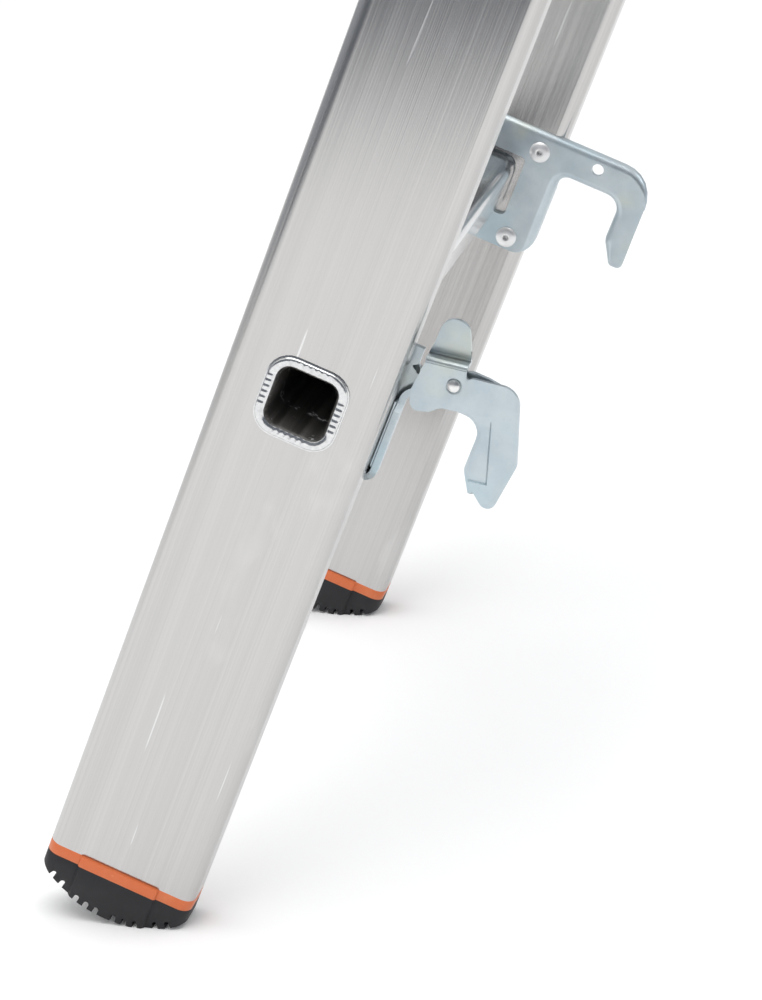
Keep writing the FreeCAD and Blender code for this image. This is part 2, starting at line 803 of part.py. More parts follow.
def hinge_bolt_shape():
    head, rise, gauge = size("bolt_head"), size("bolt_head_height"), size("bolt_diameter")
    end = bracket_face - size("nut_height + washer_thickness")
    shank = rod(end, base_outer - end, gauge, *base_yz)
    return joined(shank, hexagon(base_outer, rise, head, *base_yz))


def hinge_nut_shape():
    height, across = size("nut_height"), size("bolt_head")
    start = bracket_face - height - size("washer_play")
    hole = rod(start, height, size("bolt_diameter"), *base_yz)
    return hexagon(start, height, across, *base_yz).cut(hole)


def hinge_washer_shape():
    """Plastic washer between the bracket and the base's stile."""
    start = bracket_face + bracket_gauge + size("washer_play")
    thick = size("washer_thickness")
    ring = rod(start, thick, size("washer_diameter"), *base_yz)
    return ring.cut(rod(start, thick, size("bolt_diameter"), *base_yz))


def hinge_spacer_shape():
    """Tube inside the base's stile, which keeps the bolt from crushing it."""
    wall = size("stile_wall")
    start, length = base_inner + wall, size("stile_thickness - 2 * stile_wall")
    ring = rod(start, length, size("spacer_diameter"), *base_yz)
    return ring.cut(rod(start, length, size("bolt_diameter"), *base_yz))


def stop_pin_shape():
    """Headed pin in the base's stile that runs in the bracket's arc."""
    place = around(base_yz, size("stop_radius"), stop_pin_angle("base", 0))
    rise, play = size("stop_pin_head_height"), size("washer_play")
    head = rod(bracket_face - play - rise, rise, size("stop_pin_head"), *place)
    shank = rod(
        bracket_face - play, base_inner + size("stile_wall") - bracket_face + play,
        size("stop_pin_diameter"), *place,
    )
    tail = rod(base_inner + size("stile_wall"), 2 * rise, size("stop_pin_head"), *place)
    return joined(head, shank, tail)


def two_sided(shape, label, section):
    """The right-hand piece and its mirror image on the left."""
    solid(shape, f"{label}_right", section)
    solid(mirrored(shape), f"{label}_left", section)


# ---------------------------------------------------------------- assembly

for section in ("fly", "base"):
    for side in SIDES:
        stile(section, side)
    for index in range(int(size("rung_count"))):
        rung(section, index)
    for side in SIDES:
        foot_collar(section, side)
        top_cap(section, side)
doc.recompute()

rubber = sole_shape()
for section in ("fly", "base"):
    for side in SIDES:
        sole(section, side, rubber)

# The openings and rivet holes that the hooks, the hinge bolt and the stop pin need in the stiles.


def drilled(label, holes):
    """Cut round holes, each (x, y, z, diameter, length), into a stile, and keep the result as its part."""
    body = [part for part in parts if part.Label == label][0]
    section = label.split("_")[0]
    cutters = [rod(x, length, diameter, y, z) for x, y, z, diameter, length in holes]
    tool = doc.addObject("Part::Feature", f"{label}_holes")
    tool.Shape = Part.makeCompound(cutters)
    tool.Placement = section_frame[section]
    cut = doc.addObject("Part::Cut", f"{label}_drilled")
    cut.Base, cut.Tool = body, tool
    body.Label = f"{label}_section"
    cut.Label = label
    parts[parts.index(body)] = cut


bore = {name: size(f"{name}_diameter + 2 * hole_play") for name in ("rivet", "bolt", "stop_pin")}
wall = size("stile_wall")
stop_place = around(base_yz, size("stop_radius"), stop_pin_angle("base", 0))
for side, sign in SIDES.items():
    # a drill three walls long, centred on the wall of the inner face, and one through the whole stile
    fly_wall = sign * (inner_face + wall / 2) - 1.5 * wall
    base_wall = sign * (base_inner + wall / 2) - 1.5 * wall
    base_whole = stile_centre("base", side) - size("stile_thickness")
    rivet_holes = [(fly_wall, *place, bore["rivet"], 3 * wall) for place in rivet_places]
    drilled(f"fly_stile_{side}", rivet_holes)
    drilled(
        f"base_stile_{side}",
        [
            (base_whole, *base_yz, bore["bolt"], size("2 * stile_thickness")),
            (base_wall, *stop_place, bore["stop_pin"], 3 * wall),
        ],
    )

solid(hook_plate_shape(with_latch=True), "hook_plate_right", "fly")
solid(mirrored(hook_plate_shape(with_latch=False)), "hook_plate_left", "fly")
rivets = [blind_rivet(y, z) for y, z in rivet_places]
solid(Part.makeCompound(rivets + [mirrored(one) for one in rivets]), "hook_rivets", "fly")
solid(latch_lever_shape(), "latch_lever", "fly")
solid(latch_pin_shape(), "latch_pin", "fly")
two_sided(bracket_shape(), "guide_bracket", "fly")
two_sided(guide_pads_shape(), "guide_pads", "fly")
two_sided(hinge_bolt_shape(), "hinge_bolt", "base")
two_sided(hinge_nut_shape(), "hinge_nut", "base")
two_sided(hinge_washer_shape(), "hinge_washer", "base")
two_sided(hinge_spacer_shape(), "hinge_spacer", "base")
two_sided(stop_pin_shape(), "stop_pin", "base")
doc.recompute()

# ------------------------------------------- centre the footprint and write

whole = FreeCAD.BoundBox()
for part in parts:
    whole.add(part.Shape.optimalBoundingBox(False, False))
shift = Placement(Vector(0, -whole.Center.y, 0), Rotation())
for item in doc.Objects:
    is_tool = item.TypeId == "Part::Feature" and item not in parts
    is_placed = item in parts and item.TypeId != "Part::Cut"
    if is_placed or is_tool or item.TypeId == "PartDesign::Body":
        item.Placement = shift * item.Placement
doc.recompute()

for item in doc.Objects:
    if "Invalid" in item.State or "Error" in item.State:
        raise RuntimeError(f"{item.Label} did not build: {item.State}")
for part in parts:
    if part.Shape.isNull() or not part.Shape.isValid():
        raise RuntimeError(f"{part.Label} has no valid shape")
    part.Shape.exportStep(f"parts/{part.Label}.step")
    print(part.Label, round(part.Shape.Volume), len(part.Shape.Solids))


def report(name, section, y, z, x=0.0):
    point = shift.multVec(section_frame[section].multVec(Vector(x, y, z)))
    print(f"{name}: {point.x / 1000:.6f} {point.y / 1000:.6f} {point.z / 1000:.6f}")


report("hinge", "base", *base_yz)
report("latch pin", "fly", pin_depth, pin_length, inner_face)
report("left hook hole", "fly", pin_depth, pin_length, -inner_face + plate_gauge / 2)
report("fly frame origin", "fly", 0, 0)
report("base frame origin", "base", 0, 0)
print("lengths", round(fly_length, 2), round(base_length, 2), "offset", round(section_offset, 3))
print("box", whole)
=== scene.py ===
"""Looks of the two-section aluminium ladder, which stands open as an A-frame.

Pieces are shaped in the frame of their own section, in millimetres: X across the ladder, Y through a
stile's depth from the climber's side to the back, Z along the stiles from their bottom end. Each is then
placed in the ladder's frame, in metres.
"""

import json
import math

import bmesh
import bpy
from mathutils import Matrix, Vector

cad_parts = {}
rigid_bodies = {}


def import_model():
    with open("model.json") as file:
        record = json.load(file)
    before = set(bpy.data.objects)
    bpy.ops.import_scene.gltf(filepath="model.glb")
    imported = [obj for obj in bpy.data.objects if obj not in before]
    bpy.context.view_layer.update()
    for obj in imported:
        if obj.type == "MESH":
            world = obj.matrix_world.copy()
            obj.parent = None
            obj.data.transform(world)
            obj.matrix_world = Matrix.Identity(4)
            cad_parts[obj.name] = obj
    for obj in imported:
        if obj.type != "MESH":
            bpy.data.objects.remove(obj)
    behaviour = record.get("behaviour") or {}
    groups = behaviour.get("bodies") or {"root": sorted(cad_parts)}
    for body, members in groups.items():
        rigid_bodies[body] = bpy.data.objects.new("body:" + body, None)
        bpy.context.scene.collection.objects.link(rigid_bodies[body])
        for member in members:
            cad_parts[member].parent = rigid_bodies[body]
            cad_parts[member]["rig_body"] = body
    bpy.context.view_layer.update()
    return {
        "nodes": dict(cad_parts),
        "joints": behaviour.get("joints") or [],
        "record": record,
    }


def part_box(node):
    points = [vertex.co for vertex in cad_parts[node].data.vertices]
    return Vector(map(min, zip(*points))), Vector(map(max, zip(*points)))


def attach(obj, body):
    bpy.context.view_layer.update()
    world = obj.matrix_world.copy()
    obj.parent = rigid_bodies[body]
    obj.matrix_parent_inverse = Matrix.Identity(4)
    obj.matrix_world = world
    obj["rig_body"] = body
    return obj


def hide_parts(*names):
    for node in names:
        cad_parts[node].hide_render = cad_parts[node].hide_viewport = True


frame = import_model()
nodes = frame["nodes"]
joints = {joint["name"]: joint for joint in frame["joints"]}
SIDES = {"right": 1, "left": -1}
RUNGS = range(1, 7)

# ---------------------------------------------------------------- sizes, in millimetres

STILE_DEPTH = 72
RUNG_SIZE = 30
RUNG_CORNER = 7
RUNG_WALL = 1.8
RUNG_DEPTH = 37.4
FIRST_RUNG = 250
FLARE_OVERHANG = 4
FLARE_HEIGHT = 1.5
BEAD_OVERHANG = 0.8
BEAD_HEIGHT = 1.2
PLATE_THICKNESS = 3
PLATE_FRONT = 14
PLATE_BOTTOM = 217.2
PLATE_REAR = 76.4
MOUTH_REAR = 110.4
ARM_UNDER = 266.3
ARM_TOP = 285.3
BEAK_REAR = 124.2
BEAK_INNER = 116.7
BEAK_TIP = 232
BEAK_TAPER = 11
ROLL_RADIUS = 4.6
THROAT_FLANGE = 3.4
REAR_FLANGE = 7
WINDOW = (37.5, 251.05, 38, 33.9)
DIP_FRONT, DIP_REAR, DIP_DEPTH = 75.5, 99, 8.8
PIN_HOLE = 6.4
RIVET_PLACES = [(26, 274.1), (26, 223.7), (61.7, 274.1), (61.7, 223.7)]
RIVET_HOLE = 4.9
LATCH_PIN = (93.4, 277.6)
LEVER_THICKNESS = 2
LEVER_STANDOFF = 4.2
LEVER_STEP = 8
LEVER_TILT = 10.5
LEVER_HOLE = 5.2

lean = math.atan2(joints["extension_slide"]["axis"][1], joints["extension_slide"]["axis"][2])
inner_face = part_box("fly_stile_right")[0].x * 1000
fly_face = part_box("fly_stile_right")[1].x * 1000
base_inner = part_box("base_stile_right")[0].x * 1000
base_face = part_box("base_stile_right")[1].x * 1000

pin_place = Vector(joints["latch_pivot"]["pos_m"])
to_pin = Matrix.Translation(-Vector((inner_face, *LATCH_PIN)) / 1000)
hinge_place = Vector(joints["a_frame_hinge"]["pos_m"])
shrink = Matrix.Scale(0.001, 4)
fly_frame = Matrix.Translation(pin_place) @ Matrix.Rotation(-lean, 4, "X") @ to_pin @ shrink

# The base's frame, from the middle of its first rung, which lies this deep in the stiles.
low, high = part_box("base_rung_1")
base_rung = (low + high) / 2
base_turn = Matrix.Rotation(lean, 4, "X")
to_rung = Matrix.Translation((0, -RUNG_DEPTH / 1000, -FIRST_RUNG / 1000))
base_frame = Matrix.Translation(base_rung) @ base_turn @ to_rung @ shrink
SECTION_FRAME = {"fly": fly_frame, "base": base_frame}
SECTION_TURN = {"fly": lean, "base": -lean}
SECTION_FACE = {"fly": fly_face, "base": base_face}
SECTION_INNER = {"fly": inner_face, "base": base_inner}
SECTION_BODY = {"fly": "fly_section", "base": "base_section"}

# ---------------------------------------------------------------- materials


class Signal:
    """A node's output, on which Python's operators add Math nodes."""

    def __init__(self, finish, socket):
        self.finish, self.socket = finish, socket

    def math(self, operation, *values):
        return self.finish.node("ShaderNodeMath", {"operation": operation}, dict(enumerate(values)))

    def __add__(self, other):
        return self.math("ADD", self, other)

    def __sub__(self, other):
        return self.math("SUBTRACT", self, other)

    def __rsub__(self, other):
        return self.math("SUBTRACT", other, self)

    def __mul__(self, other):
        return self.math("MULTIPLY", self, other)

    __radd__ = __add__
    __rmul__ = __mul__


class Shading:
    """A tree with one shader, whose nodes are added by type, settings and sockets."""

    def __init__(self, owner, shader):
        owner.use_nodes = True
        self.tree = owner.node_tree
        self.shader = self.tree.nodes[shader]

    def feed(self, node, name, value):
        if isinstance(name, int):
            socket = node.inputs[name]
        else:
            socket = [one for one in node.inputs if name in (one.identifier, one.name)][0]
        if isinstance(value, Signal):
            self.tree.links.new(value.socket, socket)
        else:
            socket.default_value = value

    def node(self, kind, settings, sockets, output=0):
        node = self.tree.nodes.new(kind)
        for name, value in settings.items():
            if name == "stops":
                self.stop_colours(node.color_ramp, value)
            else:
                setattr(node, name, value)
        for name, value in sockets.items():
            self.feed(node, name, value)
        outputs = [one for one in node.outputs if one.enabled]
        return Signal(self, outputs[output])

    def stop_colours(self, ramp, stops):
        while len(ramp.elements) < len(stops):
            ramp.elements.new(1.0)
        for element, (place, colour) in zip(ramp.elements, stops):
            element.position, element.color = place, colour

    def set(self, name, value):
        self.feed(self.shader, name, value)

    def part(self, vector, axis):
        """One of a vector's three numbers."""
        return self.node("ShaderNodeSeparateXYZ", {}, {0: vector}, output="XYZ".index(axis))


class Finish(Shading):
    """A material, whose patterns are laid along its section."""

    def __init__(self, name, turn=0.0, **settings):
        self.material = bpy.data.materials.new(name)
        super().__init__(self.material, "Principled BSDF")
        self.turn = turn
        for word, value in settings.items():
            self.set(word.replace("_", " ").title(), value)

    def where(self):
        """Object coordinates, in metres."""
        return self.node("ShaderNodeTexCoord", {}, {}, output=3)

    def place(self, scale=(1, 1, 1)):
        """Object coordinates turned into line with a leaning section, in metres times a scale."""
        turned = self.node("ShaderNodeMapping", {}, {"Vector": self.where(), "Rotation": (self.turn, 0, 0)})
        return self.node("ShaderNodeVectorMath", {"operation": "MULTIPLY"}, {0: turned, 1: scale})

    def noise(self, scale, size=1.0, detail=3.0, rough=0.5):
        """Noise from 0 to 1, with that many cells a metre along each axis."""
        sockets = {"Vector": self.place(scale), "Scale": size, "Detail": detail, "Roughness": rough}
        return self.node("ShaderNodeTexNoise", {}, sockets)

    def over(self, value, low, high, start=0.0, end=1.0):
        """A value mapped from low..high to start..end, and held there outside."""
        sockets = {"Value": value, "From Min": low, "From Max": high, "To Min": start, "To Max": end}
        return self.node("ShaderNodeMapRange", {"interpolation_type": "SMOOTHSTEP"}, sockets)

    def mix(self, factor, first, second):
        sockets = {"Factor_Float": factor, "A_Color": first, "B_Color": second}
        return self.node("ShaderNodeMix", {"data_type": "RGBA"}, sockets)

    def bump(self, height, distance, strength=1.0):
        self.set("Normal", self.node("ShaderNodeBump", {}, {
            "Height": height, "Distance": distance, "Strength": strength,
        }))


def grey(level, warm=0.0):
    return (level * (1 + warm), level, level * (1 - warm), 1)


def extruded_aluminium(section):
    """Mill-finish extrusion: fine die lines along the stile, faint smudges, rubs and short scratches."""
    finish = Finish(f"extruded_aluminium_{section}", SECTION_TURN[section], metallic=1.0)
    lines = finish.noise((1300, 1300, 1.0), detail=3)
    broad = finish.noise((120, 120, 0.4), detail=2)
    die = finish.over(finish.noise((230, 230, 0.25), detail=1), 0.66, 0.72)
    smudge = finish.noise((8, 8, 6), detail=5, rough=0.6)
    rub = finish.noise((26, 26, 11), detail=4, rough=0.65)
    scratch = finish.over(finish.noise((420, 420, 14), detail=1), 0.74, 0.765)
    nick = finish.over(finish.noise((90, 150, 60), detail=3, rough=0.7), 0.745, 0.77)
    tone = finish.over(0.6 * lines + 0.4 * broad, 0.36, 0.64)
    colour = finish.mix(tone, grey(0.495, 0.014), grey(0.55, 0.016))
    colour = finish.mix(finish.over(smudge, 0.5, 0.72, 0.0, 0.45), colour, grey(0.52, 0.035))
    colour = finish.mix(finish.over(rub, 0.56, 0.7, 0.0, 0.35), colour, grey(0.65, 0.01))
    colour = finish.mix(die * 0.35, colour, grey(0.48, 0.01))
    colour = finish.mix(scratch * 0.7, colour, grey(0.78))
    colour = finish.mix(nick * 0.7, colour, grey(0.26, 0.03))
    finish.set("Base Color", colour)
    finish.set("Anisotropic", 0.85)
    finish.set("Roughness", 0.13 + 0.04 * tone + 0.08 * smudge + 0.05 * rub)
    finish.bump(0.7 * lines + 0.35 * broad - 0.5 * scratch - 0.4 * die - 0.6 * nick, 0.00005)
    return finish.material


def rung_aluminium(section):
    """Bright extrusion with lines along the rung, the same on the crimped rim outside each stile."""
    finish = Finish(f"rung_aluminium_{section}", SECTION_TURN[section], metallic=1.0)
    lines = finish.noise((1.2, 800, 800), detail=3)
    smudge = finish.noise((14, 14, 14), detail=4)
    grain = finish.noise((420, 420, 420), detail=3)
    tone = finish.over(lines, 0.3, 0.7)
    colour = finish.mix(tone, grey(0.62, -0.01), grey(0.72, 0.0))
    finish.set("Base Color", finish.mix(finish.over(grain, 0.5, 0.75, 0, 0.5), colour, grey(0.5)))
    finish.set("Roughness", 0.1 + 0.06 * lines + 0.1 * smudge)
    finish.bump(0.6 * lines + 0.5 * grain, 0.00003)
    return finish.material


def rung_bore(section):
    """Inside of the tube: dark oxide with streaks along the rung, and bright scuffs round the bead."""
    finish = Finish(f"rung_bore_{section}", SECTION_TURN[section])
    lines = finish.noise((2.5, 500, 500), detail=4)
    side = finish.part(finish.where(), "X")
    across = side.math("ABSOLUTE", side)
    inner, face = SECTION_INNER[section] / 1000, SECTION_FACE[section] / 1000
    bead = finish.over(across, inner - 0.004, inner - 0.001)
    bead = bead - finish.over(across, inner + 0.0015, inner + 0.004)
    mouth = finish.over(across, face - 0.009, face - 0.001)
    fleck = finish.noise((330, 210, 210), detail=4, rough=0.75)
    scuff = finish.over(fleck + 0.16 * bead + 0.05 * mouth, 0.68, 0.74)
    base = finish.mix(finish.over(lines, 0.35, 0.75), grey(0.035, 0.05), grey(0.1, 0.05))
    finish.set("Base Color", finish.mix(scuff, base, grey(0.7)))
    finish.set("Roughness", 0.22 + 0.25 * lines)
    finish.bump(lines + scuff, 0.00015)
    return finish.material


def zinc_plate(section):
    """Blue zinc plating: pale blue-grey with soft clouds, speckle, and a faint yellow and teal bloom."""
    finish = Finish(f"zinc_plate_{section}", SECTION_TURN[section], metallic=0.8)
    cloud = finish.noise((60, 60, 60), detail=5, rough=0.6)
    bloom = finish.noise((28, 28, 28), detail=3)
    grain = finish.noise((1500, 1500, 1500), detail=2)
    speck = finish.over(finish.noise((700, 700, 700), detail=2), 0.6, 0.75)
    colour = finish.mix(finish.over(cloud, 0.3, 0.7), (0.44, 0.51, 0.55, 1), (0.53, 0.595, 0.625, 1))
    colour = finish.mix(finish.over(bloom, 0.54, 0.68, 0, 0.4), colour, (0.60, 0.60, 0.47, 1))
    colour = finish.mix(finish.over(bloom, 0.46, 0.32, 0, 0.35), colour, (0.38, 0.53, 0.60, 1))
    colour = finish.mix(speck * 0.15, colour, (0.36, 0.42, 0.46, 1))
    finish.set("Base Color", colour)
    finish.set("Roughness", 0.24 + 0.14 * cloud)
    finish.bump(grain + 0.3 * cloud, 0.00003)
    return finish.material


def bright_steel(section):
    """Bright zinc-plated fasteners."""
    finish = Finish(f"bright_steel_{section}", SECTION_TURN[section], metallic=1.0)
    cloud = finish.noise((150, 150, 150), detail=4)
    finish.set("Base Color", finish.mix(cloud, grey(0.68), grey(0.84, 0.01)))
    finish.set("Roughness", 0.2 + 0.18 * cloud)
    finish.bump(cloud, 0.00003)
    return finish.material


def rivet_aluminium(section):
    """Plain drawn aluminium, satin, with a little grime."""
    finish = Finish(f"rivet_aluminium_{section}", SECTION_TURN[section], metallic=1.0)
    cloud = finish.noise((220, 220, 220), detail=4)
    finish.set("Base Color", finish.mix(cloud, grey(0.7), grey(0.88)))
    finish.set("Roughness", 0.34 + 0.14 * cloud)
    finish.bump(cloud, 0.00004)
    return finish.material


def moulded(name, colour, worn, roughness, section, coat=0.0):
    """Moulded plastic or rubber: fine texture, dusty patches and a few pale scuffs."""
    finish = Finish(f"{name}_{section}", SECTION_TURN[section], coat_weight=coat, coat_roughness=0.3)
    dust = finish.noise((45, 45, 45), detail=5, rough=0.65)
    grain = finish.noise((2200, 2200, 2200), detail=1)
    scuff = finish.over(finish.noise((300, 300, 700), detail=2), 0.7, 0.75)
    base = finish.mix(finish.over(dust, 0.45, 0.75, 0, 0.45), colour, worn)
    finish.set("Base Color", finish.mix(scuff * 0.35, base, worn))
    finish.set("Roughness", roughness + 0.12 * dust)
    finish.bump(grain * 0.4 + dust, 0.00005)
    return finish.material


ORANGE, ORANGE_WORN = (0.62, 0.135, 0.034, 1), (0.70, 0.25, 0.11, 1)
BLACK, BLACK_WORN = (0.006, 0.006, 0.008, 1), (0.022, 0.022, 0.025, 1)


def finishes_of(section):
    return {
        "stile": extruded_aluminium(section),
        "rung": rung_aluminium(section),
        "bore": rung_bore(section),
        "zinc": zinc_plate(section),
        "steel": bright_steel(section),
        "rivet": rivet_aluminium(section),
        "orange": moulded("orange_plastic", ORANGE, ORANGE_WORN, 0.42, section, coat=0.15),
        "rubber": moulded("black_rubber", BLACK, BLACK_WORN, 0.5, section),
        "plastic": moulded("black_plastic", BLACK, BLACK_WORN, 0.4, section, coat=0.1),
    }


FINISH = {section: finishes_of(section) for section in SECTION_BODY}

# ---------------------------------------------------------------- mesh tools


def mesh_of(shape, name):
    """Turn a bmesh into a mesh."""
    mesh = bpy.data.meshes.new(name)
    shape.to_mesh(mesh)
    shape.free()
    return mesh


def placed(name, data):
    """A new object at the origin."""
    made = bpy.data.objects.new(name, data)
    bpy.context.scene.collection.objects.link(made)
    return made


def piece(shape, name, section, body, finishes, replaced, smooth=32, local=True, flats=False):
    """Make an object of a bmesh, in its section's frame, and let it ride and stand for CAD nodes."""
    if local:
        bmesh.ops.transform(shape, matrix=SECTION_FRAME[section], verts=shape.verts)
    mesh = mesh_of(shape, name)
    for one in finishes:
        mesh.materials.append(FINISH[section][one])
    mesh.shade_smooth()
    mesh.set_sharp_from_angle(angle=math.radians(smooth))
    made = placed(name, mesh)
    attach(made, body)
    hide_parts(*replaced)
    if flats:
        weights = made.modifiers.new("flats", "WEIGHTED_NORMAL")
        weights.keep_sharp = True


def rounded(corners, steps=6):
    """Closed outline of straight runs, with an arc of its own radius at each corner."""
    places = []
    for index, (y, z, radius) in enumerate(corners):
        corner = Vector((y, z))
        before = (Vector(corners[index - 1][:2]) - corner).normalized()
        after = (Vector(corners[(index + 1) % len(corners)][:2]) - corner).normalized()
        half = before.angle(after) / 2
        if radius == 0:
            places.append(corner)
            continue
        centre = corner + (before + after).normalized() * radius / math.sin(half)
        start = corner + before * radius / math.tan(half) - centre
        end = corner + after * radius / math.tan(half) - centre
        turn = -start.angle_signed(end)
        for step in range(steps + 1):
            places.append(centre + Matrix.Rotation(turn * step / steps, 2) @ start)
    return places


def ring(shape, places, x=0.0):
    """Closed ring of edges in a plane across X."""
    corners = [shape.verts.new((x, y, z)) for y, z in places]
    for index, corner in enumerate(corners):
        shape.edges.new((corners[index - 1], corner))
    return corners


def circle(y, z, diameter, steps=24):
    """Outline of a round hole."""
    spoke = Vector((diameter / 2, 0))
    return [Vector((y, z)) + Matrix.Rotation(math.tau * one / steps, 2) @ spoke for one in range(steps)]


def drawn_out(shape, edges):
    """Extrude a run of edges: the new run, its faces, and the corner that each new corner came from."""
    made = bmesh.ops.extrude_edge_only(shape, edges=edges)["geom"]
    new = {one for one in made if isinstance(one, bmesh.types.BMVert)}
    run = [one for one in made if isinstance(one, bmesh.types.BMEdge) and new.issuperset(one.verts)]
    faces = [one for one in made if isinstance(one, bmesh.types.BMFace)]
    source = {}
    for corner in new:
        ends = [edge.other_vert(corner) for edge in corner.link_edges]
        source[corner] = [end for end in ends if end not in new][0]
    return run, faces, source


def break_edges(shape, width, angle=30):
    """Bevel the sharp edges."""
    sharp = [edge for edge in shape.edges if edge.calc_face_angle(0.0) > math.radians(angle)]
    bmesh.ops.bevel(
        shape, geom=sharp, offset=width, offset_type="OFFSET", segments=2, profile=0.5,
        affect="EDGES", material=-1, clamp_overlap=True,
    )


def softened(node, width):
    """A machined or moulded piece with its sharp edges broken, in metres."""
    shape = bmesh.new()
    shape.from_mesh(nodes[node].data)
    bmesh.ops.remove_doubles(shape, verts=shape.verts, dist=0.000002)
    break_edges(shape, width / 1000)
    return shape


def lathe(profile, y, z, steps=40):
    """Closed solid of revolution about an axis along X: profile points are (radius, x)."""
    shape = bmesh.new()
    line = [shape.verts.new((x, 0, radius)) for radius, x in profile]
    edges = [shape.edges.new(pair) for pair in zip(line, line[1:])]
    bmesh.ops.spin(
        shape, geom=line + edges, cent=(0, 0, 0), axis=(1, 0, 0), angle=math.tau, steps=steps,
        use_merge=True,
    )
    bmesh.ops.remove_doubles(shape, verts=shape.verts, dist=0.001)
    bmesh.ops.recalc_face_normals(shape, faces=shape.faces)
    bmesh.ops.translate(shape, vec=(0, y, z), verts=shape.verts)
    return shape


def merged(shapes):
    """One bmesh of several."""
    whole = bmesh.new()
    for shape in shapes:
        mesh = mesh_of(shape, "part")
        whole.from_mesh(mesh)
        bpy.data.meshes.remove(mesh)
    return whole


def mirrored(shape):
    """Mirror image across the ladder's middle."""
    bmesh.ops.scale(shape, vec=(-1, 1, 1), verts=shape.verts)
    bmesh.ops.reverse_faces(shape, faces=shape.faces)
    return shape


# ---------------------------------------------------------------- stage, light and camera


def area_light(name, place, target, size, power, colour=(1, 1, 1)):
    lamp = bpy.data.lights.new(name, "AREA")
    lamp.shape, lamp.size, lamp.energy, lamp.color = "DISK", size, power, colour
    aimed(placed(name, lamp), place, target)


def aimed(made, place, target):
    """Put a lamp or a camera somewhere and turn it to a target."""
    made.location = place
    made.rotation_euler = (Vector(target) - Vector(place)).to_track_quat("-Z", "Y").to_euler()


def sheet(size):
    """Flat square."""
    shape = bmesh.new()
    bmesh.ops.create_grid(shape, x_segments=1, y_segments=1, size=size)
    return shape


def flag():
    """Dark card beyond the right side, seen only as a reflection, which fades towards the floor."""
    card = sheet(1)
    bmesh.ops.scale(card, vec=(0.8, 2.2, 1), verts=card.verts)
    bmesh.ops.rotate(card, matrix=Matrix.Rotation(math.radians(90), 3, "Y"), verts=card.verts)
    bmesh.ops.translate(card, vec=(1.4, -0.4, 0.8), verts=card.verts)
    cloth = Finish("flag_cloth", roughness=1.0)
    cloth.set("Base Color", (0.13, 0.145, 0.17, 1))
    cloth.set("Alpha", cloth.over(cloth.part(cloth.where(), "Z"), 0.0, 0.2))
    made = placed("flag", mesh_of(card, "flag"))
    made.data.materials.append(cloth.material)
    made.visible_camera = made.visible_diffuse = made.visible_shadow = False


def studio():
    """Pale floor, soft light from above and from the camera's side, and a dim horizon."""
    paint = Finish("floor_paint", roughness=0.9)
    paint.set("Base Color", grey(0.97))
    paint.set("Specular IOR Level", 0.1)
    stage = placed("floor", mesh_of(sheet(14), "floor"))
    stage.data.materials.append(paint.material)
    area_light("overhead", (0.6, -0.4, 3.4), (0, 0, 0), 3.0, 54)
    area_light("camera_side", (3.2, -1.6, 1.9), (0, -0.3, 0.4), 2.0, 17)
    area_light("behind", (-1.2, 2.8, 2.2), (0, 0, 0.6), 2.0, 17, (0.93, 0.96, 1.0))
    flag()

    world = bpy.data.worlds.new("studio")
    bpy.context.scene.world = world
    sky = Shading(world, "Background")
    height = sky.part(sky.node("ShaderNodeTexCoord", {}, {}), "Z")
    stops = [(0.0, (0.42, 0.45, 0.5, 1)), (0.55, grey(1))]
    sky.set("Color", sky.node("ShaderNodeValToRGB", {"stops": stops}, {0: height}))
    sky.set("Strength", 0.85)


def place_camera():
    lens = bpy.data.cameras.new("camera")
    lens.lens = 117.86
    lens.sensor_width = 36
    made = placed("camera", lens)
    aimed(made, (1.4678, -0.1709, 0.7261), (0.1079, -0.4973, 0.1838))
    bpy.context.scene.camera = made


# ---------------------------------------------------------------- rungs


def grown(place, size, corner, by):
    """Place on a rounded square's outline, moved out along the outline's normal."""
    core = size / 2 - corner
    nearest = Vector(max(-core, min(core, value)) for value in place)
    return nearest + (place - nearest).normalized() * (corner + by)


def rung_profile(face, inner):
    """(x, distance from the tube's surface) from the middle out, round the flared rim, and back inside."""
    bead, flare, rim = BEAD_OVERHANG, FLARE_OVERHANG, face + FLARE_HEIGHT
    return [
        (0, 0), (inner - 5, 0), (inner - 2.6, 0.1), (inner - 1.6, 0.55), (inner - BEAD_HEIGHT / 2, bead),
        (inner - 0.1, bead), (inner, 0), (face, 0), (face, flare - 0.3), (face + 0.15, flare),
        (face + 0.5, flare), (face + 0.65, flare - 0.6), (rim - 0.3, flare - 0.9), (rim, flare - 1.4),
        (rim, flare - 2.2), (rim, flare - 3.0), (rim - 0.15, flare - 3.8), (rim - 0.7, flare - 4.6),
        (face - 0.2, 0.35 - RUNG_WALL), (face - 2, -RUNG_WALL), (inner, -RUNG_WALL), (0, -RUNG_WALL),
    ]


CRIMP_PITCH, CRIMP_DEPTH = 2.7, 0.45


def crimp(place, x, out, face):
    """Depth of the crimping tool's marks on the flat sides of the rim."""
    along, across = sorted(abs(value) for value in place)
    fade = max(0.0, 1 - (along / 10.5) ** 6) * max(0.0, 1 - ((out - 1.4) / 1.9) ** 2)
    return CRIMP_DEPTH * fade * (0.5 + 0.5 * math.cos(math.tau * along / CRIMP_PITCH)) if x > face else 0.0


